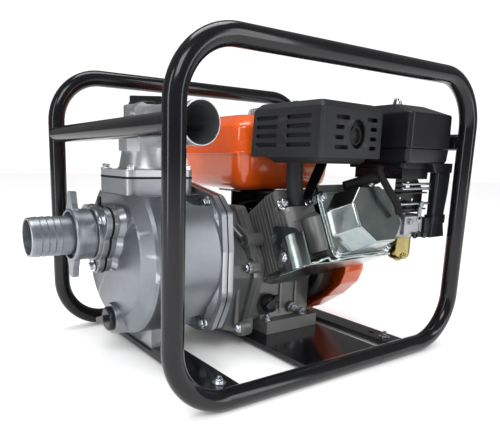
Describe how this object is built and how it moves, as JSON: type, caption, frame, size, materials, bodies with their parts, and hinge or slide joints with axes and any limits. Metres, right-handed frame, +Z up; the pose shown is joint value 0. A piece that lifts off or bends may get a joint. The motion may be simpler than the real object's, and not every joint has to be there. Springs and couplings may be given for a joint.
{
  "type": "portable water pump",
  "caption": "Engine-driven portable water pump in a tubular carrying frame, with a suction hose tail and a discharge elbow.",
  "frame": {"origin": "under the middle of the whole object, on the floor it stands on", "axes": "+X from the suction hose tail to the recoil starter, +Y away from the cylinder's side, +Z up"},
  "size_m": [0.627, 0.4072, 0.4339],
  "materials": {
    "cast_aluminium": "sand-cast, lightly polished on machined faces",
    "grey_casting": "cast aluminium with a dark grey coating",
    "frame_paint": "gloss black enamel on steel tube and plate",
    "heat_paint": "satin charcoal heat-resisting paint",
    "orange_paint": "gloss orange enamel on sheet steel",
    "black_plastic": "fine-grained moulded plastic",
    "black_rubber": "matt rubber",
    "zinc_plate": "clear zinc plate",
    "yellow_zinc": "yellow passivated zinc plate",
    "bright_steel": "ground steel",
    "cast_iron": "as cast",
    "red_plastic": "gloss moulded plastic",
    "foam": "oiled open-cell foam"
  },
  "bodies": {
    "machine": {"frame_loop_near": "frame_paint", "frame_loop_far": "frame_paint", "crossbar_pump_end": "frame_paint", "crossbar_starter_end": "frame_paint", "pump_base_plate": "frame_paint", "engine_base_plate": "frame_paint", "rear_base_plate": "frame_paint", "tank_bracket": "frame_paint", "throttle_bracket": "frame_paint", "pump_casing": "cast_aluminium", "back_cover": "cast_aluminium", "discharge_elbow": "cast_aluminium", "suction_flange": "cast_aluminium", "hose_tail": "cast_aluminium", "piston": "cast_aluminium", "carburettor": "cast_aluminium", "casing_gasket": "black_rubber", "discharge_gasket": "black_rubber", "suction_gasket": "black_rubber", "starter_rope": "black_rubber", "volute": "cast_iron", "air_cleaner_base": "black_plastic", "air_cleaner_cover": "black_plastic", "crankcase": "grey_casting", "side_cover": "grey_casting", "cylinder_head": "grey_casting", "front_bearing": "bright_steel", "rear_bearing": "bright_steel", "spark_plug": "bright_steel", "recoil_spring": "bright_steel", "rocker_cover": "zinc_plate", "air_shroud": "zinc_plate", "float_bowl": "yellow_zinc", "exhaust_pipe": "heat_paint", "muffler": "heat_paint", "muffler_guard": "heat_paint", "fan_housing": "orange_paint", "recoil_cover": "orange_paint", "fuel_tank": "orange_paint", "filter_element": "foam"},
    "crank": {"crankshaft": "bright_steel", "crank_gear": "bright_steel", "flywheel": "cast_aluminium", "impeller": "cast_iron", "shaft_seal": "black_rubber"},
    "cam": {"camshaft": "bright_steel"},
    "rod": {"connecting_rod": "bright_steel"},
    "grip": {"starter_grip": "black_plastic"},
    "pulley": {"recoil_pulley": "black_plastic"},
    "flap": {"check_valve_flap": "black_rubber"},
    "primer": {"priming_cap": "black_plastic"},
    "drain": {"drain_plug": "black_plastic"},
    "union": {"coupling_nut": "cast_aluminium"},
    "tank_cap": {"fuel_cap": "cast_aluminium"},
    "dipstick": {"oil_filler_plug": "black_plastic"},
    "cleaner_nut": {"wing_nut": "zinc_plate"},
    "choke": {"choke_lever": "zinc_plate"},
    "fuel_valve": {"fuel_valve_lever": "black_plastic"},
    "throttle": {"throttle_lever": "black_plastic"},
    "switch": {"engine_switch": "red_plastic"}
  },
  "joints": [
    {"name": "crank_spin", "type": "hinge", "parent": "machine", "child": "crank", "pos_m": [0.03952, 0.038, 0.12], "axis": [1, 0, 0], "continuous": true},
    {"name": "cam_spin", "type": "hinge", "parent": "machine", "child": "cam", "pos_m": [0.03952, 0.07618, 0.08182], "axis": [1, 0, 0], "continuous": true},
    {"name": "rod_swing", "type": "hinge", "parent": "crank", "child": "rod", "pos_m": [0.09953, 0.01761, 0.12951], "axis": [1, 0, 0], "continuous": true},
    {"name": "starter_pull", "type": "slide", "parent": "machine", "child": "grip", "axis": [0, 1, 0], "range_m": [0, 0.5], "stiffness_N_per_m": 4, "springref_m": -0.1, "deforming": ["starter_rope"]},
    {"name": "pulley_spin", "type": "hinge", "parent": "machine", "child": "pulley", "pos_m": [0.23053, 0.038, 0.12], "axis": [-1, 0, 0], "range_deg": [0, 830]},
    {"name": "flap_swing", "type": "hinge", "parent": "machine", "child": "flap", "pos_m": [-0.18347, 0.038, 0.218], "axis": [0, -1, 0], "range_deg": [0, 50]},
    {"name": "priming_cap_turn", "type": "hinge", "parent": "machine", "child": "primer", "pos_m": [-0.13847, 0.038, 0.367], "axis": [0, 0, 1], "range_deg": [0, 360]},
    {"name": "drain_plug_turn", "type": "hinge", "parent": "machine", "child": "drain", "pos_m": [-0.20147, 0.031, 0.06], "axis": [-1, 0, 0], "range_deg": [0, 360]},
    {"name": "coupling_nut_turn", "type": "hinge", "parent": "machine", "child": "union", "pos_m": [-0.25748, 0.038, 0.187], "axis": [-1, 0, 0], "range_deg": [0, 360]},
    {"name": "fuel_cap_turn", "type": "hinge", "parent": "machine", "child": "tank_cap", "pos_m": [0.10552, 0.068, 0.37], "axis": [0, 0, 1], "range_deg": [0, 360]},
    {"name": "oil_plug_turn", "type": "hinge", "parent": "machine", "child": "dipstick", "pos_m": [0.05353, -0.018, 0.058], "axis": [0, -0.9394, 0.3429], "range_deg": [0, 360]},
    {"name": "wing_nut_turn", "type": "hinge", "parent": "machine", "child": "cleaner_nut", "pos_m": [0.22953, -0.112, 0.382], "axis": [0, 0, 1], "range_deg": [0, 360]},
    {"name": "choke_swing", "type": "hinge", "parent": "machine", "child": "choke", "pos_m": [0.22953, -0.171, 0.208], "axis": [0, -1, 0], "range_deg": [0, 60]},
    {"name": "fuel_valve_turn", "type": "hinge", "parent": "machine", "child": "fuel_valve", "pos_m": [0.22052, -0.173, 0.184], "axis": [0, 1, 0], "range_deg": [0, 90]},
    {"name": "throttle_swing", "type": "hinge", "parent": "machine", "child": "throttle", "pos_m": [0.17952, -0.046, 0.2284], "axis": [0, 0, 1], "range_deg": [0, 40]},
    {"name": "switch_rock", "type": "hinge", "parent": "machine", "child": "switch", "pos_m": [0.21813, -0.074, 0.14], "axis": [0, 1, 0], "range_deg": [-10, 10]}
  ],
  "couplings": [
    {"joint": "cam_spin", "follows": "crank_spin", "ratio": -0.5},
    {"joint": "rod_swing", "follows": "crank_spin", "ratio": -1},
    {"joint": "pulley_spin", "follows": "starter_pull", "rad_per_m": 28.571}
  ]
}
